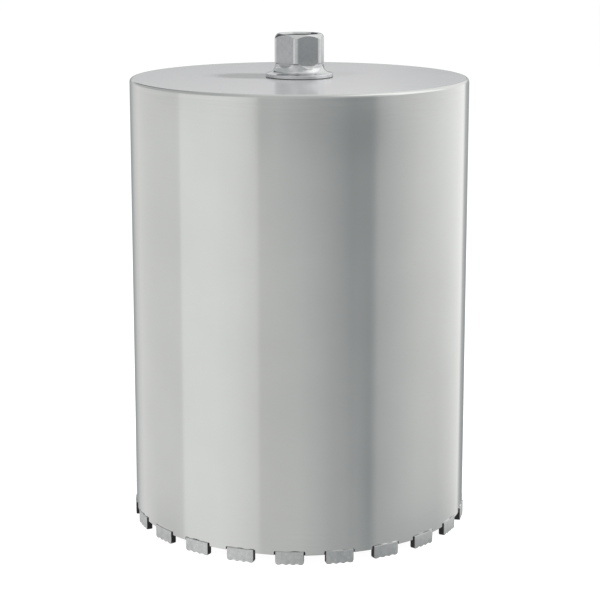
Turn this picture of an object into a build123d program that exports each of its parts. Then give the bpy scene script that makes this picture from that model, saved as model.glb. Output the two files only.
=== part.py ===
from build123d import *
import math
import os

# Diamond core bit for wet drilling of wide holes, all lengths in millimetres.
# The origin is the centre of the circle that the cutting edges touch. +Z runs along the
# spindle axis, from the cutting edges up to the hub. The front looks along -Y, and angles
# round the barrel are counted from there towards +X.

# Barrel: a rolled steel tube, open at its lower end
BARREL_DIAMETER = 298.0
BARREL_WALL = 3.0
BARREL_LENGTH = 381.0

# Segments: sintered blocks that stand in notches of the barrel's lower edge
SEGMENT_COUNT = 22
SEGMENT_LENGTH = 24.0
SEGMENT_THICKNESS = 5.0
SEGMENT_REACH = 8.5
SEGMENT_CORNER_CHAMFER = 2.0
FIRST_SEGMENT_ANGLE = -3.2

# Cutting edge of a segment: crests that run across its thickness, with hollows between them
CREST_COUNT = 4
CREST_INSET = 3.0
CREST_DEPTH = 1.0
CREST_LAND = 1.4

# Notches in the barrel, a little longer than the segments that stand in them
NOTCH_DEPTH = 3.0
NOTCH_END_GAP = 1.1

# End plate: a rim that lies on the tube and a register that centres it inside
PLATE_RIM_THICKNESS = 6.0
PLATE_EDGE_RADIUS = 2.8
REGISTER_HEIGHT = 4.0
REGISTER_CLEARANCE = 0.1

# Hub, outside: flange, flared neck and hexagon above the plate, spigot through it
FLANGE_DIAMETER = 59.0
FLANGE_EDGE_HEIGHT = 3.4
FLANGE_EDGE_CHAMFER = 0.7
FLANGE_SLOPE = 12.0
FLARE_RADIUS = 6.0
NECK_DIAMETER = 43.4
NECK_TOP_HEIGHT = 12.0
HUB_HEIGHT = 38.0
HEX_ACROSS_FLATS = 41.0
HEX_CORNER_DIAMETER = 45.6
HEX_CORNER_ANGLE = -8.0
HEX_TOP_FACE_DIAMETER = 39.0
HEX_TOP_CHAMFER_ANGLE = 45.0
HEX_FOOT_CHAMFER_ANGLE = 45.0
FLAT_FOOT_HEIGHT = 13.0
FLAT_RUN_OUT_ANGLE = 22.0
SPIGOT_DIAMETER = 44.0
SPIGOT_REACH = 6.0
SPIGOT_CLEARANCE = 0.05

# Hub, inside: 1 1/4 inch thread of 7 turns to the inch, and the water way below it
THREAD_MAJOR_DIAMETER = 31.75
THREAD_LENGTH = 38.0
MOUTH_CHAMFER = 1.5
WATER_WAY_DIAMETER = 18.0

# Fillet weld between the spigot and the plate
WELD_LEG = 5.0

# Heights and radii that follow
EDGE_Z = SEGMENT_REACH
SEAT_Z = EDGE_Z + NOTCH_DEPTH
RIM_SEAT_Z = EDGE_Z + BARREL_LENGTH
PLATE_TOP_Z = RIM_SEAT_Z + PLATE_RIM_THICKNESS
PLATE_FOOT_Z = RIM_SEAT_Z - REGISTER_HEIGHT
HUB_TOP_Z = PLATE_TOP_Z + HUB_HEIGHT
SPIGOT_FOOT_Z = PLATE_FOOT_Z - SPIGOT_REACH
OUTER_RADIUS = BARREL_DIAMETER / 2
INNER_RADIUS = OUTER_RADIUS - BARREL_WALL
WALL_MIDDLE_RADIUS = OUTER_RADIUS - BARREL_WALL / 2
SPIGOT_RADIUS = SPIGOT_DIAMETER / 2

# How far a cutter runs past the surface that it opens
OVERRUN = 2.0

# Rounded edges are built from this many equal facets
PLATE_EDGE_FACETS = 3
FLARE_FACETS = 3


def turned(points):
    """Solid turned about Z from the (radius, height) points of its outline."""
    return revolve(Plane.XZ * make_face(Polyline(*points, close=True)), Axis.Z)


def arc_points(centre, radius, start, end, facets):
    """Points of an arc from one angle to another, in degrees, both ends included."""
    angles = [math.radians(start + (end - start) * k / facets) for k in range(facets + 1)]
    return [(centre[0] + radius * math.cos(a), centre[1] + radius * math.sin(a)) for a in angles]


def radial_block(outline):
    """Carries an outline of (tangent, height) from the axis out through the front of the wall."""
    return extrude(Plane.XZ * outline, amount=OUTER_RADIUS + SEGMENT_THICKNESS + OVERRUN)


def around(shape):
    """Copies of a shape from the front, one for each segment."""
    pitch = 360 / SEGMENT_COUNT
    return [Rot(0, 0, FIRST_SEGMENT_ANGLE + k * pitch) * shape for k in range(SEGMENT_COUNT)]


def notch_cutter():
    """One notch, open below."""
    width = SEGMENT_LENGTH + 2 * NOTCH_END_GAP
    height = NOTCH_DEPTH + OVERRUN
    return radial_block(Pos(0, SEAT_Z - height / 2) * Rectangle(width, height))


def make_barrel():
    tube = turned(
        [
            (INNER_RADIUS, EDGE_Z),
            (OUTER_RADIUS, EDGE_Z),
            (OUTER_RADIUS, RIM_SEAT_Z),
            (INNER_RADIUS, RIM_SEAT_Z),
        ]
    )
    return tube - around(notch_cutter())


def make_cap_plate():
    bore_radius = SPIGOT_RADIUS + SPIGOT_CLEARANCE
    register_radius = INNER_RADIUS - REGISTER_CLEARANCE
    edge_centre = (OUTER_RADIUS - PLATE_EDGE_RADIUS, PLATE_TOP_Z - PLATE_EDGE_RADIUS)
    return turned(
        [
            (bore_radius, PLATE_FOOT_Z),
            (register_radius, PLATE_FOOT_Z),
            (register_radius, RIM_SEAT_Z),
            (OUTER_RADIUS, RIM_SEAT_Z),
            *arc_points(edge_centre, PLATE_EDGE_RADIUS, 0, 90, PLATE_EDGE_FACETS),
            (bore_radius, PLATE_TOP_Z),
        ]
    )


def flare_points(neck_radius, slope_end):
    """Facets of the flare that leads from the flange's slope up into the neck.

    Its arc touches the neck's wall and the slope, which reaches the wall at slope_end.
    """
    turn = math.radians(90 - FLANGE_SLOPE)
    setback = FLARE_RADIUS * math.tan(turn / 2)
    centre = (neck_radius + FLARE_RADIUS, slope_end + setback)
    return arc_points(centre, FLARE_RADIUS, 270 - FLANGE_SLOPE, 180, FLARE_FACETS)


def hub_body():
    """Turned outside of the hub, up to the round that trims the hexagon's corners."""
    flange_radius = FLANGE_DIAMETER / 2
    neck_radius = NECK_DIAMETER / 2
    corner_radius = HEX_CORNER_DIAMETER / 2
    top_radius = HEX_TOP_FACE_DIAMETER / 2
    slope_run = flange_radius - FLANGE_EDGE_CHAMFER - neck_radius
    slope_end = FLANGE_EDGE_HEIGHT + slope_run * math.tan(math.radians(FLANGE_SLOPE))
    foot_rise = (corner_radius - neck_radius) * math.tan(math.radians(HEX_FOOT_CHAMFER_ANGLE))
    top_fall = (corner_radius - top_radius) * math.tan(math.radians(HEX_TOP_CHAMFER_ANGLE))
    return turned(
        [
            (0, SPIGOT_FOOT_Z),
            (SPIGOT_RADIUS, SPIGOT_FOOT_Z),
            (SPIGOT_RADIUS, PLATE_TOP_Z),
            (flange_radius, PLATE_TOP_Z),
            (flange_radius, PLATE_TOP_Z + FLANGE_EDGE_HEIGHT - FLANGE_EDGE_CHAMFER),
            (flange_radius - FLANGE_EDGE_CHAMFER, PLATE_TOP_Z + FLANGE_EDGE_HEIGHT),
            *flare_points(neck_radius, PLATE_TOP_Z + slope_end),
            (neck_radius, PLATE_TOP_Z + NECK_TOP_HEIGHT),
            (corner_radius, PLATE_TOP_Z + NECK_TOP_HEIGHT + foot_rise),
            (corner_radius, HUB_TOP_Z - top_fall),
            (top_radius, HUB_TOP_Z),
            (0, HUB_TOP_Z),
        ]
    )


def hexagon_at(height, flat_radius):
    """Hexagon of the hub as a level outline, at a height above the end plate."""
    side_count = 6
    flats = RegularPolygon(flat_radius, side_count, major_radius=False)
    corner_from_x = HEX_CORNER_ANGLE - 90
    return Pos(0, 0, PLATE_TOP_Z + height) * Rot(0, 0, corner_from_x) * flats


def hexagon_milling():
    """What the six milled flats take off: a wide ring less the hexagon.

    Each flat runs out below on a slope, which comes out of the neck's round wall.
    """
    flat_radius = HEX_ACROSS_FLATS / 2
    slope = math.tan(math.radians(FLAT_RUN_OUT_ANGLE))
    run_out = (NECK_DIAMETER / 2 - flat_radius) / slope + OVERRUN
    foot = hexagon_at(FLAT_FOOT_HEIGHT, flat_radius)
    skirt_foot = hexagon_at(FLAT_FOOT_HEIGHT - run_out, flat_radius + run_out * slope)
    height = HUB_HEIGHT - FLAT_FOOT_HEIGHT + OVERRUN
    hexagon = extrude(foot, amount=height) + loft([skirt_foot, foot], ruled=True)
    stock = Cylinder(FLANGE_DIAMETER, height + run_out, align=(Align.CENTER, Align.CENTER, Align.MIN))
    return Pos(0, 0, PLATE_TOP_Z + FLAT_FOOT_HEIGHT - run_out) * stock - hexagon


def hub_bore():
    """Chamfered mouth, thread at its major diameter and water way, in one."""
    thread_radius = THREAD_MAJOR_DIAMETER / 2
    thread_foot = HUB_TOP_Z - MOUTH_CHAMFER - THREAD_LENGTH
    water_radius = WATER_WAY_DIAMETER / 2
    return turned(
        [
            (0, SPIGOT_FOOT_Z - OVERRUN),
            (water_radius, SPIGOT_FOOT_Z - OVERRUN),
            (water_radius, thread_foot),
            (thread_radius, thread_foot),
            (thread_radius, HUB_TOP_Z - MOUTH_CHAMFER),
            (thread_radius + MOUTH_CHAMFER + OVERRUN, HUB_TOP_Z + OVERRUN),
            (0, HUB_TOP_Z + OVERRUN),
        ]
    )


def make_hub():
    return hub_body() - hexagon_milling() - hub_bore()


def make_hub_weld():
    return turned(
        [
            (SPIGOT_RADIUS, PLATE_FOOT_Z),
            (SPIGOT_RADIUS, PLATE_FOOT_Z - WELD_LEG),
            (SPIGOT_RADIUS + WELD_LEG, PLATE_FOOT_Z),
        ]
    )


def crest_points():
    """Wave along the cutting edge: flat crests and hollows of equal length, joined by flanks."""
    pitch = (SEGMENT_LENGTH - 2 * CREST_INSET) / (CREST_COUNT - 1)
    half_land = CREST_LAND / 2
    points = []
    for k in range(CREST_COUNT - 1):
        crest = CREST_INSET - SEGMENT_LENGTH / 2 + k * pitch
        hollow = crest + pitch / 2
        next_crest = crest + pitch
        points += [(crest + half_land, 0), (hollow - half_land, CREST_DEPTH)]
        points += [(hollow + half_land, CREST_DEPTH), (next_crest - half_land, 0)]
    return points


def segment_outline():
    """Front view of a segment: square above, and below the wave between two cut corners."""
    half_length = SEGMENT_LENGTH / 2
    corner = half_length - SEGMENT_CORNER_CHAMFER
    return make_face(
        Polyline(
            (-half_length, SEAT_Z),
            (-half_length, SEGMENT_CORNER_CHAMFER),
            (-corner, 0),
            *crest_points(),
            (corner, 0),
            (half_length, SEGMENT_CORNER_CHAMFER),
            (half_length, SEAT_Z),
            close=True,
        )
    )


def make_segment():
    """A segment at the front: its outline cut from a ring that stands proud on both sides."""
    inner = WALL_MIDDLE_RADIUS - SEGMENT_THICKNESS / 2
    outer = WALL_MIDDLE_RADIUS + SEGMENT_THICKNESS / 2
    ring = turned([(inner, -OVERRUN), (outer, -OVERRUN), (outer, SEAT_Z), (inner, SEAT_Z)])
    return ring & radial_block(segment_outline())


def main():
    pieces = {
        "barrel": make_barrel(),
        "cap_plate": make_cap_plate(),
        "hub": make_hub(),
        "hub_weld": make_hub_weld(),
    }
    for k, segment in enumerate(around(make_segment()), start=1):
        pieces[f"segment_{k:02d}"] = segment
    os.makedirs("parts", exist_ok=True)
    for name, piece in pieces.items():
        export_step(piece, f"parts/{name}.step")


main()
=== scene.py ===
import bpy
import math
import numpy as np
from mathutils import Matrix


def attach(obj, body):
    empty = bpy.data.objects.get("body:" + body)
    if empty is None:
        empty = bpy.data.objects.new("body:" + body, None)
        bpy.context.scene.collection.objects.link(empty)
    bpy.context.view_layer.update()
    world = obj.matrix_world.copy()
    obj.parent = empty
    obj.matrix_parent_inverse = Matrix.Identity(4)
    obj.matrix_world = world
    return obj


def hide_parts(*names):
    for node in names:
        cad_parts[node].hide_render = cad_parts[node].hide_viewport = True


# Diamond core bit: what its surfaces look like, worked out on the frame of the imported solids.
# Lengths are millimetres, and a mesh is scaled to metres when it is made. The floor, the
# lamps, the camera and a place within a material are in metres.
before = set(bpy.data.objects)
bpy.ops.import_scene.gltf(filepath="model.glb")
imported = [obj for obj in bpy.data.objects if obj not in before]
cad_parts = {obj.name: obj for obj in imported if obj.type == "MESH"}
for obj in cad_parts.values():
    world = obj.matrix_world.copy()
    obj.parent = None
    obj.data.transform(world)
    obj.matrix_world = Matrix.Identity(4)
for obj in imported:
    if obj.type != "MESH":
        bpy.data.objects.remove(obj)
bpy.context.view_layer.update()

MM = 0.001
FULL_TURN = 2 * math.pi

# Barrel
OUTER_RADIUS = 149.0
INNER_RADIUS = 146.0
EDGE_Z = 8.5
SEAT_Z = 11.5
RIM_SEAT_Z = 389.5
BARREL_EDGE_ROUND = 0.25
EVEN_RING_Z = EDGE_Z + 16.0
EVEN_RING_SPREAD = 0.25

# Notches, and the solder above each segment
SEGMENT_COUNT = 22
FIRST_SEGMENT_ANGLE = -3.2
NOTCH_HALF_WIDTH = 13.1
NOTCH_CORNER_RADIUS = 0.8
NOTCH_FOOT_RADIUS = 0.3
SOLDER_HALF_LENGTH = 11.5
SOLDER_DEPTH = 0.6
SOLDER_HEIGHT = 1.1

# Segments
SEGMENT_HALF_LENGTH = 12.0
SEGMENT_INNER_RADIUS = 145.0
SEGMENT_OUTER_RADIUS = 150.0
SEGMENT_CORNER_RADIUS = 2.2
SEGMENT_EDGE_ROUND = 0.4
CREST_COUNT = 4
CREST_INSET = 3.0
CREST_DEPTH = 1.0

# End plate
PLATE_TOP_Z = 395.5
PLATE_FOOT_Z = 385.5
PLATE_EDGE_RADIUS = 2.8
REGISTER_RADIUS = 145.9
REGISTER_ROUND = 0.8
PLATE_BORE_RADIUS = 22.05
PLATE_BORE_ROUND = 0.3

# Hub
HUB_TOP_Z = 433.5
SPIGOT_RADIUS = 22.0
SPIGOT_FOOT_Z = 379.5
FLANGE_RADIUS = 29.5
FLANGE_EDGE_HEIGHT = 3.4
FLANGE_EDGE_CHAMFER = 0.7
FLANGE_SLOPE = math.tan(math.radians(12.0))
FLARE_RADIUS = 6.0
FLARE_TURN = 78.0
NECK_RADIUS = 21.7
NECK_TOP_HEIGHT = 12.0
HEX_FLAT_RADIUS = 20.5
HEX_CORNER_LIMIT = 22.8
HEX_CORNER_ANGLE = -8.0
HEX_TOP_FACE_RADIUS = 19.5
FLAT_FOOT_HEIGHT = 10.8
FLAT_FOOT_ARC_RADIUS = 30.0
FLAT_RUN_OUT_FOOT = 7.2
FLAT_RUN_OUT_SLOPE = math.tan(math.radians(30.0))
WATER_WAY_RADIUS = 9.0
FLARE_TOP_HEIGHT = (
    FLANGE_EDGE_HEIGHT
    + (FLANGE_RADIUS - FLANGE_EDGE_CHAMFER - NECK_RADIUS) * FLANGE_SLOPE
    + FLARE_RADIUS * math.tan(math.radians(FLARE_TURN / 2))
)

# Thread in the hub: 7 turns to the inch, right-hand
THREAD_MAJOR_RADIUS = 15.875
THREAD_MINOR_RADIUS = 13.95
THREAD_PITCH = 25.4 / 7
THREAD_TOP_Z = 432.0
THREAD_FOOT_Z = 394.0
RUN_OUT_Z = 398.5
THREAD_ROW_HEIGHT = 0.16

# Weld under the end plate
WELD_LEG = 5.0
WELD_RIPPLES = 46
WELD_BULGE = 0.35
WELD_RIPPLE_HEIGHT = 0.3

# Studio panels round the object: tables of (degrees from the camera's side towards +X, level)
PANEL_RADIUS = 1500.0
CEILING_RADIUS = 900.0
LOW_PANELS = [
    (-180, 0.35), (-157, 0.38), (-150, 0.55), (-143, 0.75), (-134, 0.92), (-84, 0.92),
    (-82, 1.1), (-55, 1.1), (-40, 1.04), (-27, 0.93), (-25, 0.78), (0, 0.67), (13, 0.57),
    (25, 0.46), (33, 0.38), (46, 0.38), (49, 0.47), (52, 0.57), (67, 0.68), (84, 0.84),
    (105, 0.98), (126, 1.1), (140, 1.2), (143, 1.0), (146, 0.55), (155, 0.38), (180, 0.35),
]
UPPER_PANELS = [
    (-180, 0.85), (-150, 0.65), (-120, 0.6), (-60, 0.62), (-35, 0.75), (35, 0.55), (50, 0.7),
    (60, 1.0), (68, 1.45), (105, 1.45), (115, 1.1), (140, 1.1), (165, 0.9), (180, 0.85),
]

# Shares of the low panels' level at other heights, by the same angle
FOOT_SHARE = [
    (-180, 1.0), (-30, 1.0), (0, 1.12), (22, 1.13), (31, 1.27), (38, 1.23), (46, 0.96),
    (52, 0.96), (67, 0.96), (84, 0.88), (105, 0.76), (126, 0.8), (180, 0.9),
]
DEEP_SHARE = [
    (-125, 1.0), (-110, 0.84), (-92, 0.84), (-80, 0.97), (-60, 1.0), (25, 1.0), (44, 1.08),
    (52, 0.94), (60, 0.82), (75, 0.7), (92, 0.66), (112, 0.66), (130, 0.74), (150, 1.0),
]
RIM_SHARE = [(-32, 1.0), (-24, 0.82), (-14, 0.93), (-4, 0.84), (10, 0.8), (50, 0.76), (62, 1.0)]
FLAT_SHARE = [
    (-125, 1.0), (-100, 0.88), (-84, 0.74), (-75, 0.7), (-65, 0.8), (-45, 1.0), (10, 1.0),
    (42, 1.6), (52, 1.6), (80, 1.0), (159, 1.0), (162, 2.4), (167, 2.4), (170, 1.0),
]

# Panel behind the object, which the end plate mirrors: (sine of the angle, level)
BACK_PANEL_ANGLE = 140.0
BACK_PANEL_BLEND = 15.0
BACK_PANEL = [(-0.05, 0.43), (0.02, 0.28), (0.18, 0.28), (0.26, 0.5)]
BACK_LIFT = [(-0.05, 0.29), (0.0, 0.31), (0.03, 0.58), (0.09, 0.54), (0.16, 0.14)]

# Slanting black flag as (height, degrees), and the lamp opposite
FLAG_LINE = [(1036, -153), (1296, -145), (1684, -134), (2205, -123)]
FLAG_HALF_WIDTH = 5.0
LAMP_ANGLE = 45.0
LAMP_HALF_WIDTH = 30.0


def ring_points(angle, radius, height):
    """Points of a turned body: angle is counted from the front, -Y, towards +X."""
    return np.stack([radius * np.sin(angle), -radius * np.cos(angle), height], axis=-1)


def rounded_path(corners, radii, closed, steps=6):
    """A path of (radius, height) corners with an arc of its own radius at each.

    corners has the shape (corners, columns, 2), and the result (rows, columns, 2). An arc is
    the rational curve (1-s)^2 P + 2w s(1-s) C + s^2 Q over the sum of its weights, where C is
    the corner, P and Q lie one setback before and after it, and w is the cosine of half the
    turn, which makes the curve a circle.
    """
    corners = np.asarray(corners, dtype=float)
    before = np.roll(corners, 1, axis=0)
    after = np.roll(corners, -1, axis=0)
    into = corners - before
    into /= np.maximum(np.linalg.norm(into, axis=-1, keepdims=True), 1e-9)
    out = after - corners
    out /= np.maximum(np.linalg.norm(out, axis=-1, keepdims=True), 1e-9)
    share = np.linspace(0, 1, steps + 1)[:, None, None]
    rows = []
    for k, radius in enumerate(radii):
        inside = closed or 0 < k < len(radii) - 1
        if radius == 0 or not inside:
            rows.append(corners[k][None])
            continue
        cosine = np.clip((into[k] * out[k]).sum(-1, keepdims=True), -1, 1)
        weight = np.sqrt((1 + cosine) / 2)
        setback = radius * np.sqrt((1 - cosine) / (1 + cosine))
        start = corners[k] - setback * into[k]
        end = corners[k] + setback * out[k]
        middle = 2 * weight * share * (1 - share)
        total = (1 - share) ** 2 + middle + share**2
        arc = (1 - share) ** 2 * start + middle * corners[k] + share**2 * end
        rows.append(arc / total)
    return np.concatenate(rows)


def hold_straights(profile):
    """Adds a row near each end of every long straight, so that its shading stays even."""
    hold, least = 0.15, 1.2
    rows = [profile[:1]]
    for start, end in zip(profile[:-1], profile[1:]):
        length = np.linalg.norm(end - start, axis=-1, keepdims=True)
        if length.min() > least:
            step = hold * (end - start) / length
            rows.append(np.stack([start + step, end - step]))
        rows.append(end[None])
    return np.concatenate(rows)


def mesh_piece(name, grid, node, finish, along_closed=True, marks=None):
    """Puts a grid of points into a mesh, closed round its columns, that replaces a CAD node.

    The rows close on each other too, or else each end row shrinks to one point, its mean. The
    faces are turned outwards by the sign of the enclosed volume, which is a sixth of the sum
    of every triangle's triple product.
    """
    rows, columns = grid.shape[:2]
    points = grid.reshape(-1, 3) * MM
    row = np.arange(rows if along_closed else rows - 1)[:, None] * columns
    next_row = (row + columns) % (rows * columns)
    column = np.arange(columns)
    next_column = (column + 1) % columns
    corners = [row + column, row + next_column, next_row + next_column, next_row + column]
    quads = np.stack(np.broadcast_arrays(*corners), axis=-1).reshape(-1, 4)
    fans = np.zeros((0, 3), dtype=int)
    if not along_closed:
        ends = grid[[0, -1]].mean(axis=1) * MM
        first = np.stack([next_column, column, np.full(columns, len(points))], axis=-1)
        last_row = (rows - 1) * columns
        tail = np.full(columns, len(points) + 1)
        last = np.stack([last_row + column, last_row + next_column, tail], axis=-1)
        points = np.concatenate([points, ends])
        fans = np.concatenate([first, last])

    halves = np.concatenate([quads[:, [0, 1, 2]], quads[:, [0, 2, 3]], fans])
    a, b, c = (points[halves[:, k]] for k in range(3))
    if (a * np.cross(b, c)).sum() < 0:
        quads, fans = quads[:, ::-1], fans[:, ::-1]

    mesh = bpy.data.meshes.new(name)
    mesh.vertices.add(len(points))
    mesh.vertices.foreach_set("co", points.ravel())
    mesh.loops.add(quads.size + fans.size)
    mesh.loops.foreach_set("vertex_index", np.concatenate([quads.ravel(), fans.ravel()]))
    sizes = np.concatenate([np.full(len(quads), 4), np.full(len(fans), 3)])
    mesh.polygons.add(len(sizes))
    mesh.polygons.foreach_set("loop_start", np.concatenate([[0], np.cumsum(sizes)[:-1]]))
    mesh.polygons.foreach_set("use_smooth", np.ones(len(sizes), dtype=bool))
    for label, values in (marks or {}).items():
        values = np.broadcast_to(values, (rows, columns)).astype(float)
        at_ends = [] if along_closed else [values[0].mean(), values[-1].mean()]
        layer = mesh.attributes.new(label, "FLOAT", "POINT")
        layer.data.foreach_set("value", np.concatenate([values.ravel(), at_ends]))
    mesh.update(calc_edges=True)
    mesh.validate()
    mesh.set_sharp_from_angle(angle=math.radians(35))
    mesh.materials.append(finish)

    piece = bpy.data.objects.new(name, mesh)
    bpy.context.scene.collection.objects.link(piece)
    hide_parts(node)
    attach(piece, "root")


def notch_path():
    """Lower edge of the barrel over one pitch, as (along the wall, height) points.

    The wall's length is measured at its outside. The edge drops into the notch by an arc at
    its foot and one at its upper corner, and its straights are divided evenly.
    """
    half_pitch = math.pi / SEGMENT_COUNT * OUTER_RADIUS
    foot, top = NOTCH_FOOT_RADIUS, NOTCH_CORNER_RADIUS
    wide = NOTCH_HALF_WIDTH
    corners = [(-half_pitch, EDGE_Z), (-wide, EDGE_Z), (-wide, SEAT_Z), (wide, SEAT_Z)]
    corners += [(wide, EDGE_Z), (half_pitch, EDGE_Z)]
    outline = rounded_path(np.array(corners)[:, None], [0, foot, top, top, foot, 0], False, 4)
    outline = outline[:, 0]
    step = 1.6
    points = []
    for start, end in zip(outline[:-1], outline[1:]):
        pieces = max(1, math.ceil(np.linalg.norm(end - start) / step))
        points.append(start + (end - start) * np.linspace(0, 1, pieces, endpoint=False)[:, None])
    return np.concatenate(points)


def wall_angle(along, radius):
    """Angle of a point on the wall, measured from its segment's middle.

    The notch has parallel sides, so inside it the angle is the arc sine of the distance from
    its middle plane over the radius. From the notch to the middle between two segments the
    angle runs on evenly.
    """
    half_pitch = math.pi / SEGMENT_COUNT
    limit = half_pitch * OUTER_RADIUS
    size = np.abs(along)
    side = np.arcsin(NOTCH_HALF_WIDTH / radius)
    inside = np.arcsin(np.minimum(size, NOTCH_HALF_WIDTH) / radius)
    share = np.clip((size - NOTCH_HALF_WIDTH) / (limit - NOTCH_HALF_WIDTH), 0, 1)
    return np.sign(along) * (inside + share * (half_pitch - side))


def make_barrel(finish):
    """Tube wall as one closed grid: outside, lower edge with its notches, inside, upper rim.

    A column follows the notched edge. Going up from the edge it moves on a straight line to
    its place on an even ring, so the columns that climb a notch's side fan out. Solder lies
    along the notch's upper edge, between its two ends. It stands out from the wall by
    depth * level * (1 - rise / height)^2, where the level falls with a product of two sines
    that differs at each segment: a bead where it is positive and a groove where it is
    negative. The edge is a quarter round on either side, shallower where solder fills it.
    """
    path = notch_path()
    tangent = np.roll(path, -1, axis=0) - np.roll(path, 1, axis=0)
    tangent[0] = tangent[-1] = (1, 0)
    tangent /= np.linalg.norm(tangent, axis=1, keepdims=True)
    inwards = np.stack([-tangent[:, 1], tangent[:, 0]], axis=-1)

    half_pitch = math.pi / SEGMENT_COUNT * OUTER_RADIUS
    rest = (half_pitch - np.abs(path[:, 0])) / (half_pitch - NOTCH_HALF_WIDTH)
    spread = EVEN_RING_SPREAD * (SEAT_Z - path[:, 1]) * np.minimum(rest, 1)
    even_along = path[:, 0] + np.sign(path[:, 0]) * spread
    even = np.stack([even_along, np.full(len(path), EVEN_RING_Z)], -1)
    start = path + inwards * BARREL_EDGE_ROUND

    on_seat = (path[:, 1] > SEAT_Z - 0.1) * np.clip(SOLDER_HALF_LENGTH - np.abs(path[:, 0]), 0, 1)
    number = np.arange(SEGMENT_COUNT)[:, None]
    wave = np.sin(0.31 * path[:, 0] + 2.3 * number) * np.sin(0.17 * path[:, 0] + 4.1 * number + 1)
    solder = SOLDER_DEPTH * on_seat * np.clip(0.4 - 1.3 * wave, -0.5, 1)

    outside, inside, edge_out, edge_in = [], [], [], []
    # The third value of each row marks unpainted steel and painted shade: the inside is unpainted steel
    # toned darker as painted shade, and hollow solder is painted dark in its groove as shade, up to
    # half.
    for share in (0.0, 0.01, 0.02, 0.03, 0.04, 0.055, 0.07, 0.1, 0.14, 0.22, 0.4, 0.7, 1.0):
        point = start + share * (even - start)
        fade = np.clip(1 - (point[:, 1] - path[:, 1]) / SOLDER_HEIGHT, 0, 1) ** 2
        bead = solder * fade
        outside.append((point, OUTER_RADIUS + bead, np.clip(-3 * bead, 0, 0.5)))
        inside.append((point, INNER_RADIUS, 1.0))
    for share in (0.3, 0.7, 1.0):
        height = np.full(len(path), EVEN_RING_Z + share * (RIM_SEAT_Z - EVEN_RING_Z))
        point = np.stack([even_along, height], -1)
        outside.append((point, OUTER_RADIUS, 0.0))
        inside.append((point, INNER_RADIUS, 1.0))
    # On the edge's round the third value paints a dark line, a painted reflection of a dark floor,
    # weaker where solder fills the edge.
    for turn in np.radians([30, 60, 90]):
        point = path + inwards * BARREL_EDGE_ROUND * (1 - math.sin(turn))
        trim = BARREL_EDGE_ROUND * (1 - math.cos(turn))
        edge = OUTER_RADIUS + solder - trim * (1 - 0.75 * on_seat)
        edge_out.append((point, edge, 1 - 0.7 * on_seat))
        edge_in.append((point, INNER_RADIUS + trim, 1.0))

    segment_angle = np.radians(FIRST_SEGMENT_ANGLE) + FULL_TURN / SEGMENT_COUNT * number
    rows, bare_and_shaded = [], []
    for point, radius, bare_and_shaded_share in outside[::-1] + edge_out + edge_in[::-1] + inside:
        angle = segment_angle + wall_angle(point[:, 0], radius)
        rows.append(ring_points(*np.broadcast_arrays(angle, radius, point[:, 1])).reshape(-1, 3))
        bare_and_shaded.append(np.broadcast_to(bare_and_shaded_share, angle.shape).ravel())
    marks = {"bare_and_shaded": np.stack(bare_and_shaded)}
    mesh_piece("barrel_wall", np.stack(rows), "barrel", finish, marks=marks)


def segment_foot(along):
    """Height of a segment's lower edge: a cosine wave between the first and last crest.

    Outside them it is level and then rises as a quarter circle into each end.
    """
    first = SEGMENT_HALF_LENGTH - CREST_INSET
    pitch = 2 * first / (CREST_COUNT - 1)
    wave = CREST_DEPTH / 2 * (1 - np.cos(FULL_TURN * (along + first) / pitch))
    wave = np.where(np.abs(along) < first, wave, 0)
    past = np.clip(np.abs(along) - SEGMENT_HALF_LENGTH + SEGMENT_CORNER_RADIUS, 0, None)
    past = np.minimum(past, SEGMENT_CORNER_RADIUS)
    return wave + SEGMENT_CORNER_RADIUS - np.sqrt(SEGMENT_CORNER_RADIUS**2 - past**2)


def make_segments(finish):
    """Sintered blocks: a rounded rectangle between two radii, carried along the block's length.

    Its lower side follows the wavy foot. Over the rounding at each end the rectangle shrinks
    by 1 - cos of the turn while it moves on by the sine, and the end face shrinks further
    before it closes on its middle. Each block is the same one, turned to its notch. The marks
    run round the section with four values to a corner, from the outer foot to the inner one.
    """
    round_over = SEGMENT_EDGE_ROUND
    body = SEGMENT_HALF_LENGTH - round_over
    corner_turn = np.radians([15, 35, 55, 75])
    corner = body - (SEGMENT_CORNER_RADIUS - round_over) * (1 - np.sin(corner_turn))
    end_turn = np.radians([18, 36, 54, 72, 90, 90])
    side = np.concatenate([corner, [body], body + round_over * np.sin(end_turn)])
    shrink = np.concatenate([np.zeros(5), round_over * (1 - np.cos(end_turn))])
    shrink[-1] += round_over
    middle = np.linspace(-corner[0], corner[0], 61)[1:-1]
    along = np.concatenate([-side[::-1], middle, side])
    inset = np.concatenate([shrink[::-1], 0 * middle, shrink])

    bottom = segment_foot(along) + inset
    top = SEAT_Z - inset
    inner, outer = SEGMENT_INNER_RADIUS + inset, SEGMENT_OUTER_RADIUS - inset
    corners = [(outer, bottom), (outer, top), (inner, top), (inner, bottom)]
    section = rounded_path(np.stack([np.stack(c, -1) for c in corners]), [round_over] * 4, True, 3)
    radius, height = section[..., 0].T, section[..., 1].T

    end = np.clip((np.abs(along) - body) / round_over, 0, 1)[:, None]
    raw_ring = np.array([1, 0.8, 0.2, 0] + [0] * 4 + [1] * 8)
    # The middle rows of every edge's round are marked; the finish turns them part way to mid grey.
    edge_round_grey_ring = np.array([0, 1, 1, 0] * 4)
    marks = {"raw": np.maximum(raw_ring, end), "edge_round_grey": edge_round_grey_ring * (1 - end)}
    depth = np.sqrt(radius**2 - along[:, None] ** 2)
    for k in range(SEGMENT_COUNT):
        angle = math.radians(FIRST_SEGMENT_ANGLE) + FULL_TURN * k / SEGMENT_COUNT
        across = along[:, None] * math.cos(angle) + depth * math.sin(angle)
        away = along[:, None] * math.sin(angle) - depth * math.cos(angle)
        grid = np.stack([across, away, height], -1)
        block, node = f"segment_block_{k + 1:02d}", f"segment_{k + 1:02d}"
        mesh_piece(block, grid, node, finish, along_closed=False, marks=marks)


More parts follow.
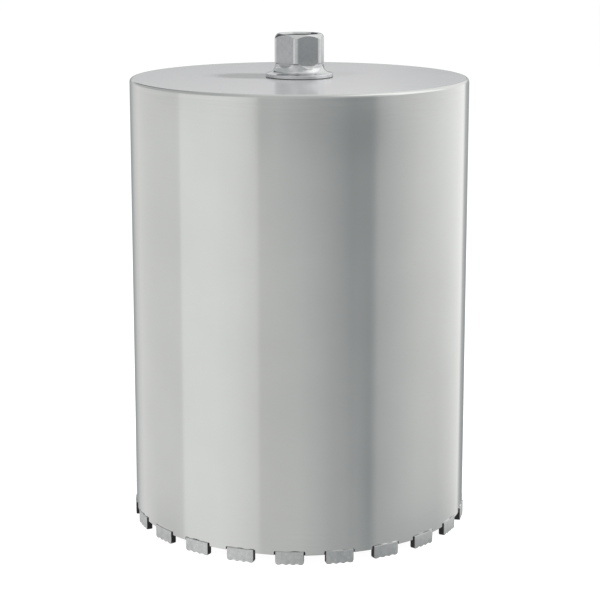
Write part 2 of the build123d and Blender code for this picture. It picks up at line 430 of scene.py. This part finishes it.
def make_end_plate(finish):
    """Plate turned about Z: a closed profile with arcs at its corners, the largest outside on top."""
    corners = [
        (PLATE_BORE_RADIUS, PLATE_FOOT_Z),
        (REGISTER_RADIUS, PLATE_FOOT_Z),
        (REGISTER_RADIUS, RIM_SEAT_Z),
        (OUTER_RADIUS, RIM_SEAT_Z),
        (OUTER_RADIUS, PLATE_TOP_Z),
        (PLATE_BORE_RADIUS, PLATE_TOP_Z),
    ]
    radii = [PLATE_BORE_ROUND, REGISTER_ROUND, 0, 0, PLATE_EDGE_RADIUS, PLATE_BORE_ROUND]
    profile = hold_straights(rounded_path(np.array(corners)[:, None], radii, True, 12))
    angle = np.linspace(0, FULL_TURN, 360, endpoint=False)
    grid = ring_points(angle, *np.broadcast_arrays(profile[..., 0], profile[..., 1], angle)[:2])
    mesh_piece("end_plate", grid, "cap_plate", finish)


def hexagon_angles():
    """Columns round the hub, closer at the hexagon's six trimmed corners."""
    edge = math.degrees(math.acos(HEX_FLAT_RADIUS / HEX_CORNER_LIMIT))
    hold = 0.6
    flat = np.linspace(-edge + hold, edge - hold, 27)
    land = np.linspace(edge, 60 - edge, 6)
    side = np.concatenate([flat, land])
    return np.radians((HEX_CORNER_ANGLE + 30 + 60 * np.arange(6)[:, None] + side).ravel())


def lesser(first, second, width=0.15):
    """Soft minimum (a + b - sqrt((a - b)^2 + w^2)) / 2, which breaks an edge over its width."""
    return (first + second - np.sqrt((first - second) ** 2 + width**2)) / 2


def turned_radius(height):
    """Hub before milling: the flare's quarter circle, the neck, a 45 degree cone, the top cone."""
    rise = height - PLATE_TOP_Z
    below = np.clip(FLARE_TOP_HEIGHT - rise, 0, FLARE_RADIUS)
    body = NECK_RADIUS + FLARE_RADIUS - np.sqrt(FLARE_RADIUS**2 - below**2)
    body = body + np.clip(rise - NECK_TOP_HEIGHT, 0, HEX_CORNER_LIMIT - NECK_RADIUS)
    return lesser(body, HEX_TOP_FACE_RADIUS + HUB_TOP_Z - height)


def hub_radius(angle, height):
    """Side of the hub from its flare to its top: the lesser of the turned body and the flats.

    A flat lies at its distance over the cosine of the angle to its normal. Its foot is an arc
    of the milling cutter's radius, and below it the distance grows on the run-out's slope.
    """
    rise = height - PLATE_TOP_Z
    body = turned_radius(height)
    turn = np.radians((np.degrees(angle) - HEX_CORNER_ANGLE) % 60 - 30)
    aside = np.minimum(HEX_FLAT_RADIUS * np.tan(np.abs(turn)), FLAT_FOOT_ARC_RADIUS)
    foot = FLAT_FOOT_HEIGHT + FLAT_FOOT_ARC_RADIUS - np.sqrt(FLAT_FOOT_ARC_RADIUS**2 - aside**2)
    flat = HEX_FLAT_RADIUS + FLAT_RUN_OUT_SLOPE * np.maximum(foot - rise, 0)
    return np.where(rise < FLAT_RUN_OUT_FOOT, body, lesser(body, flat / np.cos(turn)))


def thread_radius(angle, height):
    """Wall of the bore: the depth of a 60 degree thread at the phase height / pitch - turns.

    The ridge is level over a quarter of a pitch, and the groove over an eighth. A 45 degree
    cone cuts the first turn at the mouth, and the ridge runs out above the floor.
    """
    phase = (height / THREAD_PITCH - angle / FULL_TURN) % 1
    from_crest = np.abs(phase - 0.5) * 2
    ridge = np.clip((0.875 - from_crest) / 0.625, 0, 1)
    fade = np.clip((height - RUN_OUT_Z) / 1.5 + 0.5, 0, 1)
    radius = THREAD_MAJOR_RADIUS - (THREAD_MAJOR_RADIUS - THREAD_MINOR_RADIUS) * ridge * fade
    cone = THREAD_MAJOR_RADIUS - (THREAD_TOP_Z - height)
    return np.maximum(radius, cone)


def make_hub(finish):
    """Hub as one closed grid: turned spigot and flange, side by its formula, threaded bore.

    The side's rows lie close where the flats run out and where the top cone cuts them. The
    turned part below ends one row early, because the side starts at its last corner.
    """
    angle = hexagon_angles()
    slope_foot = FLANGE_EDGE_HEIGHT - FLANGE_EDGE_CHAMFER * FLANGE_SLOPE
    flare_foot_z = PLATE_TOP_Z + FLARE_TOP_HEIGHT - FLARE_RADIUS * math.sin(math.radians(FLARE_TURN))
    flare_foot = hub_radius(0.0, flare_foot_z)
    mouth = HUB_TOP_Z - THREAD_TOP_Z
    below_corners = [
        (THREAD_MAJOR_RADIUS, THREAD_FOOT_Z),
        (WATER_WAY_RADIUS, THREAD_FOOT_Z),
        (WATER_WAY_RADIUS, SPIGOT_FOOT_Z),
        (SPIGOT_RADIUS, SPIGOT_FOOT_Z),
        (SPIGOT_RADIUS, PLATE_TOP_Z),
        (FLANGE_RADIUS, PLATE_TOP_Z),
        (FLANGE_RADIUS, PLATE_TOP_Z + slope_foot),
        (flare_foot, flare_foot_z),
    ]
    above_corners = [
        (HEX_TOP_FACE_RADIUS - 0.1, HUB_TOP_Z),
        (THREAD_MAJOR_RADIUS + mouth, HUB_TOP_Z),
        (THREAD_MAJOR_RADIUS, THREAD_TOP_Z),
    ]
    below_radii = [0, 0.4, 0.8, 0.8, 0.1, 0.35, 0.6, 0]
    below = rounded_path(np.array(below_corners)[:, None], below_radii, False)
    below = hold_straights(below)[:-1]
    above = rounded_path(np.array(above_corners)[:, None], [0, 0.2, 0], False)
    above = hold_straights(above)

    flare_turn = np.radians(np.linspace(FLARE_TURN, 26, 11))
    flare = FLARE_TOP_HEIGHT - FLARE_RADIUS * np.sin(flare_turn)
    cone_foot = HUB_TOP_Z - PLATE_TOP_Z - (HEX_CORNER_LIMIT - HEX_TOP_FACE_RADIUS) - 0.3
    run_out = np.arange(FLAT_RUN_OUT_FOOT + 0.05, FLAT_FOOT_HEIGHT + 3, 0.12)
    flats = np.linspace(FLAT_FOOT_HEIGHT + 4, cone_foot - 1, 6)
    cone = np.linspace(cone_foot, HUB_TOP_Z - PLATE_TOP_Z, 33)
    side_z = PLATE_TOP_Z + np.concatenate([flare, run_out, flats, cone])[:, None]
    side = np.stack(np.broadcast_arrays(hub_radius(angle, side_z), side_z), -1)

    depth = THREAD_TOP_Z - THREAD_FOOT_Z
    bore_z = np.linspace(THREAD_TOP_Z, THREAD_FOOT_Z, round(depth / THREAD_ROW_HEIGHT))[1:-1, None]
    bore = np.stack(np.broadcast_arrays(thread_radius(angle, bore_z), bore_z), -1)
    turned = [np.broadcast_to(part, (len(part), len(angle), 2)) for part in (below, above)]
    profile = np.concatenate([turned[0], side, turned[1], bore])
    row = np.arange(len(profile))[:, None]
    milled = np.clip((turned_radius(profile[..., 1]) - profile[..., 0]) / 0.15 - 1, 0, 1)
    on_side = (row >= len(below)) & (row < len(below) + len(side))
    marks = {"bore": row > len(profile) - len(bore) - 2, "milled": milled * on_side}
    grid = ring_points(angle, profile[..., 0], profile[..., 1])
    mesh_piece("threaded_hub", grid, "hub", finish, marks=marks)


def make_hub_weld(finish):
    """Fillet weld: a triangle turned about Z, its open side bulged by a sine and by ripples.

    The ripples are the scales of the bead, |sin| of the angle, skewed along the bead's side.
    """
    share = np.linspace(0, 1, 15)[:, None]
    angle = np.linspace(0, FULL_TURN, 16 * WELD_RIPPLES, endpoint=False)[None]
    lead = share * (1 - share) * 0.35
    scales = np.abs(np.sin(WELD_RIPPLES / 2 * angle + 4 * lead)) ** 0.7
    bulge = np.sin(math.pi * share) * (WELD_BULGE + WELD_RIPPLE_HEIGHT * scales)
    radius = SPIGOT_RADIUS + WELD_LEG * (1 - share) + bulge * math.sqrt(0.5)
    height = PLATE_FOOT_Z - WELD_LEG * share - bulge * math.sqrt(0.5)
    radius = np.concatenate([np.full((1, angle.shape[1]), SPIGOT_RADIUS), radius])
    height = np.concatenate([np.full((1, angle.shape[1]), PLATE_FOOT_Z), height])
    grid = ring_points(angle, radius, height)
    mesh_piece("weld_bead", grid, "hub_weld", finish)


class Signal:
    """What a node puts out. Sums, products and powers of signals add Math nodes."""

    def __init__(self, tree, port):
        self.tree = tree
        self.port = port

    def node(self, kind, settings, sockets, out=0):
        """A new node of the tree: its settings first, then the values or links of its sockets."""
        made = self.tree.nodes.new(kind)
        for setting, value in settings.items():
            setattr(made, setting, value)
        for socket, value in sockets.items():
            if isinstance(value, Signal):
                self.tree.links.new(value.port, made.inputs[socket])
            else:
                made.inputs[socket].default_value = value
        return Signal(self.tree, made.outputs[out] if made.outputs else None)

    def maths(self, operation, first, second, clamp=False):
        settings = {"operation": operation, "use_clamp": clamp}
        return self.node("ShaderNodeMath", settings, {0: first, 1: second})

    def __add__(self, other):
        return self.maths("ADD", self, other)

    def __sub__(self, other):
        return self.maths("SUBTRACT", self, other)

    def __rsub__(self, other):
        return self.maths("SUBTRACT", other, self)

    def __mul__(self, other):
        return self.maths("MULTIPLY", self, other)

    def __truediv__(self, other):
        return self.maths("DIVIDE", self, other)

    def __pow__(self, other):
        return self.maths("POWER", self, other)

    __radd__ = __add__
    __rmul__ = __mul__

    def clamped(self):
        """The same signal, held between 0 and 1."""
        return self.maths("ADD", self, 0.0, clamp=True)

    def between(self, low, high):
        """0 below low, 1 above high, and an even ramp from one to the other."""
        return ((self - low) / (high - low)).clamped()

    def tint(self, low, high):
        """A colour that goes from low to high as this signal goes from 0 to 1."""
        return self.node("ShaderNodeMix", {"data_type": "RGBA"}, {0: self, 6: low, 7: high}, out=2)

    def part(self, axis):
        """One of the three parts of a place."""
        return self.node("ShaderNodeSeparateXYZ", {}, {0: self}, out="XYZ".index(axis))

    def stretched(self, scale):
        """A place times a scale for each axis, which stretches a pattern where it is small."""
        return self.node("ShaderNodeVectorMath", {"operation": "MULTIPLY"}, {0: self, 1: scale})

    def noise(self, size, detail=2.0, roughness=0.5):
        """Cloudy values about 0.5, with features of that size in millimetres."""
        sockets = {"Vector": self, "Scale": 1 / (size * MM), "Detail": detail, "Roughness": roughness}
        return self.node("ShaderNodeTexNoise", {}, sockets)


def new_finish(name):
    """A material with an empty tree, and the place on the surface in metres as a signal."""
    finish = bpy.data.materials.new(name)
    finish.use_nodes = True
    finish.node_tree.nodes.clear()
    place = Signal(finish.node_tree, None).node("ShaderNodeTexCoord", {}, {}, out="Object")
    return finish, place


def close_finish(finish, place, sockets):
    """Ends a material in one Principled shader that takes these sockets."""
    shader = place.node("ShaderNodeBsdfPrincipled", {}, sockets)
    place.node("ShaderNodeOutputMaterial", {}, {"Surface": shader})
    return finish


def mark(place, name):
    """Values that the piece's mesh carries under this name."""
    return place.node("ShaderNodeAttribute", {"attribute_name": name}, {}, out="Fac")


def relief(place, height, depth):
    """Bump of a height signal from 0 to 1, that deep in millimetres."""
    return place.node("ShaderNodeBump", {}, {"Height": height, "Distance": depth * MM, "Strength": 1.0})


def lacquer(place, tone, lines):
    """Silver lacquer as (colour, roughness, height). Brush lines run round the axis under it."""
    clouds = place.noise(60.0, 3.0)
    brush = place.stretched((0.02, 0.02, 1.0)).noise(0.9, 2.0, 0.6)
    peel = place.noise(2.2, 2.0)
    dust = place.noise(0.5, 2.0, 0.7)
    colour = clouds.between(0.3, 0.7).tint([0.96 * c for c in tone] + [1], [*tone, 1])
    colour = (brush.between(0.4, 0.75) * lines).tint(colour, [0.9 * c for c in tone] + [1])
    roughness = 0.085 + 0.03 * clouds + 0.06 * lines
    height = brush * lines + 0.3 * peel + 0.05 * dust
    return colour, roughness, height


def barrel_finish():
    """Lacquer outside; unpainted rolled steel in the notches, in hollow solder and inside, toned darker
    as painted shade; on the lower edge's round the dark is a painted reflection.

    Inside at the back runs the weld seam, a little darker than the steel.
    """
    finish, place = new_finish("silver lacquer on the barrel")
    z = place.part("Z")
    lines = 0.05 + 0.4 * z.between(0.352, 0.385) + 0.25 * z.between(0.06, 0.012)
    colour, roughness, height = lacquer(place, (0.60, 0.61, 0.60), lines)
    bare_and_shaded = mark(place, "bare_and_shaded")
    x, y = place.part("X"), place.part("Y")
    seam = (1 - ((x * x) ** 0.5).between(0.0015, 0.004)) * y.between(0.0, 0.01)
    scale = place.noise(9.0, 4.0, 0.6)
    streak = place.stretched((0.1, 0.1, 1.0)).noise(1.2, 3.0)
    # These steel tones are darker than unpainted steel: painted shade inside the drum and in hollow
    # solder, and a painted reflection on the lower edge.
    steel = scale.between(0.3, 0.7).tint((0.16, 0.16, 0.16, 1), (0.30, 0.30, 0.29, 1))
    steel = (0.5 * streak * seam + 0.6 * seam).clamped().tint(steel, (0.15, 0.13, 0.12, 1))
    colour = bare_and_shaded.tint(colour, steel)
    return close_finish(
        finish,
        place,
        {
            "Base Color": colour,
            "Metallic": 0.9,
            "Roughness": roughness * (1 - bare_and_shaded) + (0.42 + 0.2 * scale) * bare_and_shaded,
            "Coat Weight": 0.35 * (1 - bare_and_shaded),
            "Coat Roughness": 0.06,
            "Normal": relief(place, height * (1 - bare_and_shaded) + (scale + streak + 4.0 * seam) * bare_and_shaded, 0.012),
        },
    )


def plate_finish():
    """The same lacquer: thicker and more matt on the turned face, and smooth round its edge."""
    finish, place = new_finish("silver lacquer on the end plate")
    x, y = place.part("X"), place.part("Y")
    radius = (x * x + y * y) ** 0.5
    turned = place.node(
        "ShaderNodeTexNoise", {"noise_dimensions": "1D"}, {"W": radius, "Scale": 160.0, "Detail": 2.0}
    )
    face = radius.between(0.1466, 0.1458)
    colour, roughness, height = lacquer(place, (0.60, 0.61, 0.60), 0.05)
    level = turned.between(0.4, 0.8).tint((0.485, 0.485, 0.495, 1), (0.455, 0.455, 0.465, 1))
    colour = face.tint(colour, level)
    return close_finish(
        finish,
        place,
        {
            "Base Color": colour,
            "Metallic": 0.92 - 0.77 * face,
            "Roughness": roughness + (0.08 + 0.05 * turned) * face,
            "Coat Weight": 0.35 - 0.3 * face,
            "Coat Roughness": 0.06,
            "Normal": relief(place, height + 0.3 * turned * face, 0.004),
        },
    )


def hub_finish():
    """Plated steel: fine lines, duller milled flats, the bore painted dark as shade, and painted
    contact shade at the flange's foot.
    """
    finish, place = new_finish("plated steel of the hub")
    bore, milled = mark(place, "bore"), mark(place, "milled")
    fine = place.stretched((0.05, 0.05, 1.0)).noise(0.5, 3.0, 0.7)
    spots = place.noise(3.0, 3.0, 0.6)
    grain = place.noise(0.4, 2.0)
    colour = spots.between(0.3, 0.7).tint((0.58, 0.59, 0.60, 1), (0.67, 0.68, 0.69, 1))
    colour = (fine.between(0.4, 0.8) * 0.4).tint(colour, (0.46, 0.47, 0.48, 1))
    duller = spots.between(0.3, 0.7).tint((0.40, 0.41, 0.42, 1), (0.45, 0.46, 0.47, 1))
    colour = milled.tint(colour, duller)
    # The bore is painted near black: painted shade inside the threaded hole.
    bore_shade = spots.between(0.3, 0.7).tint((0.04, 0.04, 0.04, 1), (0.10, 0.10, 0.10, 1))
    # Painted contact shade: the hub is darkened nearly to black from 0.4 mm above the plate down,
    # fading out by 0.9 mm, and broken up by grain.
    foot_shade = place.part("Z").between(0.3964, 0.3959) * (0.6 + 0.8 * grain).clamped()
    colour = foot_shade.tint(colour, (0.06, 0.06, 0.06, 1))
    return close_finish(
        finish,
        place,
        {
            "Base Color": bore.tint(colour, bore_shade),
            "Metallic": 1.0,
            "Roughness": (0.08 + 0.08 * spots + 0.2 * bore) * (1 - foot_shade) + 0.6 * foot_shade,
            "Normal": relief(place, 0.6 * fine + 0.3 * grain + 0.3 * spots, 0.006),
        },
    )


def weld_finish():
    """Weld metal with darker burnt patches between its scales."""
    finish, place = new_finish("weld metal")
    patches = place.noise(4.0, 3.0, 0.6)
    grain = place.noise(0.5, 3.0, 0.7)
    colour = patches.between(0.35, 0.65).tint((0.20, 0.18, 0.17, 1), (0.42, 0.41, 0.40, 1))
    return close_finish(
        finish,
        place,
        {
            "Base Color": colour,
            "Metallic": 0.9,
            "Roughness": 0.35 + 0.3 * grain,
            "Normal": relief(place, grain + patches, 0.08),
        },
    )


def segment_finish():
    """Sintered metal with grit: pale where lacquer reached the outside, near black elsewhere."""
    finish, place = new_finish("sintered diamond metal")
    raw, edge_round_grey = mark(place, "raw"), mark(place, "edge_round_grey")
    grain = place.noise(0.45, 3.0, 0.7)
    clouds = place.noise(4.0, 3.0)
    grit = place.node(
        "ShaderNodeTexVoronoi", {"feature": "F1"}, {"Vector": place, "Scale": 1400.0}, out="Distance"
    )
    crystal = 1 - grit.between(0.12, 0.3)
    pale = clouds.between(0.3, 0.7).tint((0.57, 0.58, 0.58, 1), (0.69, 0.70, 0.70, 1))
    pale = (grain.between(0.35, 0.75) * 0.9).tint(pale, (0.32, 0.33, 0.33, 1))
    dark = grain.between(0.3, 0.7).tint((0.02, 0.02, 0.02, 1), (0.05, 0.05, 0.05, 1))
    dark = (crystal * 0.5).tint(dark, (0.14, 0.14, 0.13, 1))
    colour = raw.tint(pale, dark)
    # The middle of every edge's round is turned 35% of the way to mid grey: lighter on the near black
    # faces, a little darker on the pale ones.
    colour = (edge_round_grey * 0.35).tint(colour, (0.5, 0.5, 0.5, 1))
    return close_finish(
        finish,
        place,
        {
            "Base Color": colour,
            "Metallic": 0.9 * (1 - 0.7 * raw),
            "Roughness": 0.3 + 0.15 * grain + 0.3 * raw,
            "Normal": relief(place, grain + crystal * raw + 0.4 * clouds, 0.09),
        },
    )


def make_floor():
    """Plain white floor, left out of reflections. It keeps the object's shadow.

    It is dark inside the barrel, apart from a strip along the wall that shows under its edge. A painted
    light raises its glow under the wall and out to 0.18 m, which lightens the object's shadow there.
    """
    half_side = 12.0
    corners = [(x * half_side, y * half_side, 0) for x, y in ((-1, -1), (1, -1), (1, 1), (-1, 1))]
    mesh = bpy.data.meshes.new("floor")
    mesh.from_pydata(corners, [], [(0, 1, 2, 3)])
    floor = bpy.data.objects.new("floor", mesh)
    bpy.context.scene.collection.objects.link(floor)
    floor.visible_glossy = False
    finish, place = new_finish("white floor")
    x, y = place.part("X"), place.part("Y")
    radius = (x * x + y * y) ** 0.5
    outside = radius.between(0.127, 0.128)
    seen = place.node("ShaderNodeLightPath", {}, {}, out="Is Camera Ray")
    # The added 0.1 is painted light: it lightens the shadow under the wall and just outside it.
    strength = (0.87 + 0.1 * radius.between(0.18, 0.15)) * outside * seen
    speckle = place.noise(8.0, 2.0).tint((0.39, 0.39, 0.39, 1), (0.41, 0.41, 0.41, 1))
    matt = place.node("ShaderNodeBsdfDiffuse", {}, {"Color": speckle})
    glow = place.node("ShaderNodeEmission", {}, {"Color": (1, 1, 1, 1), "Strength": strength})
    both = place.node("ShaderNodeAddShader", {}, {0: matt, 1: glow})
    place.node("ShaderNodeOutputMaterial", {}, {"Surface": both})
    mesh.materials.append(finish)


def read_off(table, values):
    """A table of (value, level) pairs read at these values, with straight lines between pairs."""
    return np.interp(values, *np.array(table).T)


def panel_rows(angle):
    """Brightness of the studio's panels round the object, as rows of (height, radius, levels).

    Angles in degrees count from the camera's side towards +X. The low panels show in the
    barrel and, a little changed, in the hub's flats, those behind in the end plate, and the
    upper ones and the ceiling in rims and chamfers, with one lamp and one slanting black flag
    among them.
    """
    low, upper = read_off(LOW_PANELS, angle), read_off(UPPER_PANELS, angle)
    foot = low * read_off(FOOT_SHARE, angle)
    deep, rim, flat = (read_off(share, angle) for share in (DEEP_SHARE, RIM_SHARE, FLAT_SHARE))
    levels = [
        (-2500, foot * deep**0.5),
        (-560, foot * deep),
        (-440, foot),
        (120, low),
        (205, low * rim),
        (244, low * rim),
        (258, low * flat**0.5),
        (300, low * flat),
        (335, low * flat),
        (480, low),
    ]
    behind = np.clip((np.abs(angle) - BACK_PANEL_ANGLE) / BACK_PANEL_BLEND, 0, 1)
    across = np.sin(np.radians(angle))
    back, lift = read_off(BACK_PANEL, across), read_off(BACK_LIFT, across)
    for height, change, raised in ((516, 0.6, 0.0), (580, 0.8, 1.0)):
        front = low + change * (upper - low)
        levels.append((height, front + behind * (back + raised * lift - front)))
    levels.append((700, upper))
    for height in range(900, 2800, 100):
        off_line = np.abs(angle - read_off(FLAG_LINE, height))
        flag = (height < 2400) * np.clip(1.6 - off_line / FLAG_HALF_WIDTH, 0, 1)
        lamp = (height > 1300) * np.clip(1 - np.abs(angle - LAMP_ANGLE) / LAMP_HALF_WIDTH, 0, 1)
        levels.append((height, upper * (1 - 0.85 * flag) + 0.5 * lamp))
    pale, ceiling = np.full_like(angle, 0.62), np.full_like(angle, 0.85)
    rows = [(-3500, 1, pale), (-3400, CEILING_RADIUS, pale)]
    rows += [(height, PANEL_RADIUS, level) for height, level in levels]
    return rows + [(3400, CEILING_RADIUS, ceiling), (3500, 1, ceiling)]


def make_studio_wall():
    """Ring of studio panels round the object, seen only in its reflections."""
    angle = np.linspace(-180, 180, 1440, endpoint=False)
    height, radius, levels = zip(*panel_rows(angle))
    height, radius = np.array(height)[:, None], np.array(radius)[:, None]
    grid = ring_points(*np.broadcast_arrays(np.radians(angle), radius, height)) * MM
    rows, columns = grid.shape[:2]
    row = np.arange(rows - 1)[:, None] * columns
    column = np.arange(columns)
    after = (column + 1) % columns
    quads = np.stack([row + after, row + column, row + columns + column, row + columns + after], -1)
    mesh = bpy.data.meshes.new("studio_wall")
    mesh.from_pydata(grid.reshape(-1, 3), [], quads.reshape(-1, 4))
    layer = mesh.attributes.new("level", "FLOAT", "POINT")
    layer.data.foreach_set("value", np.stack(levels).ravel())
    wall = bpy.data.objects.new("studio_wall", mesh)
    bpy.context.scene.collection.objects.link(wall)
    wall.visible_camera = False
    wall.visible_diffuse = False
    wall.visible_shadow = False
    wall.visible_transmission = False
    wall.visible_volume_scatter = False
    finish, place = new_finish("studio panels")
    level = mark(place, "level")
    colour = level.between(0.3, 0.8).tint((0.95, 1.0, 1.02, 1), (1.0, 1.0, 0.99, 1))
    glow = place.node("ShaderNodeEmission", {}, {"Color": colour, "Strength": level})
    place.node("ShaderNodeOutputMaterial", {}, {"Surface": glow})
    mesh.materials.append(finish)


def light_the_room():
    """White room: it is seen as plain white, and gives a soft even light; two lamps add to it."""
    world = bpy.data.worlds.new("white room")
    bpy.context.scene.world = world
    world.use_nodes = True
    world.node_tree.nodes.clear()
    start = Signal(world.node_tree, None)
    rays = ("Is Camera Ray", "Is Glossy Ray", "Is Transmission Ray")
    camera, glossy, through = (start.node("ShaderNodeLightPath", {}, {}, out=ray) for ray in rays)
    strength = 0.33 + 0.67 * (camera + glossy + through).clamped()
    sky = start.node("ShaderNodeBackground", {}, {"Color": (1, 1, 1, 1), "Strength": strength})
    start.node("ShaderNodeOutputWorld", {}, {"Surface": sky})

    aim = (0, 0, 0.3)
    for name, place, size, power in (
        ("lamp_left", (-1.6, -1.5, 2.1), 0.7, 18.0),
        ("lamp_right", (2.1, -0.35, 1.85), 0.45, 84.0),
    ):
        light = bpy.data.lights.new(name, "AREA")
        light.shape = "DISK"
        light.size = size
        light.energy = power
        lamp = bpy.data.objects.new(name, light)
        bpy.context.scene.collection.objects.link(lamp)
        lamp.location = place
        x, y, z = np.array(aim) - np.array(place)
        lamp.rotation_euler = (math.atan2(math.hypot(x, y), -z), 0, math.atan2(-x, y))
        lamp.visible_glossy = False


def set_camera():
    """Camera at the front, looking a little down on the end plate, with a long lens."""
    look_down = 10.92
    data = bpy.data.cameras.new("camera")
    data.sensor_width = 36.0
    data.lens = 105.32
    data.shift_y = -0.10
    data.clip_end = 100.0
    camera = bpy.data.objects.new("camera", data)
    camera.location = (0.0005, -1.5441, 0.547)
    camera.rotation_euler = (math.radians(90 - look_down), 0, 0)
    bpy.context.scene.collection.objects.link(camera)
    bpy.context.scene.camera = camera


set_camera()
make_barrel(barrel_finish())
make_end_plate(plate_finish())
make_hub(hub_finish())
make_hub_weld(weld_finish())
make_segments(segment_finish())
make_floor()
make_studio_wall()
light_the_room()
bpy.context.scene.view_settings.view_transform = "Standard"
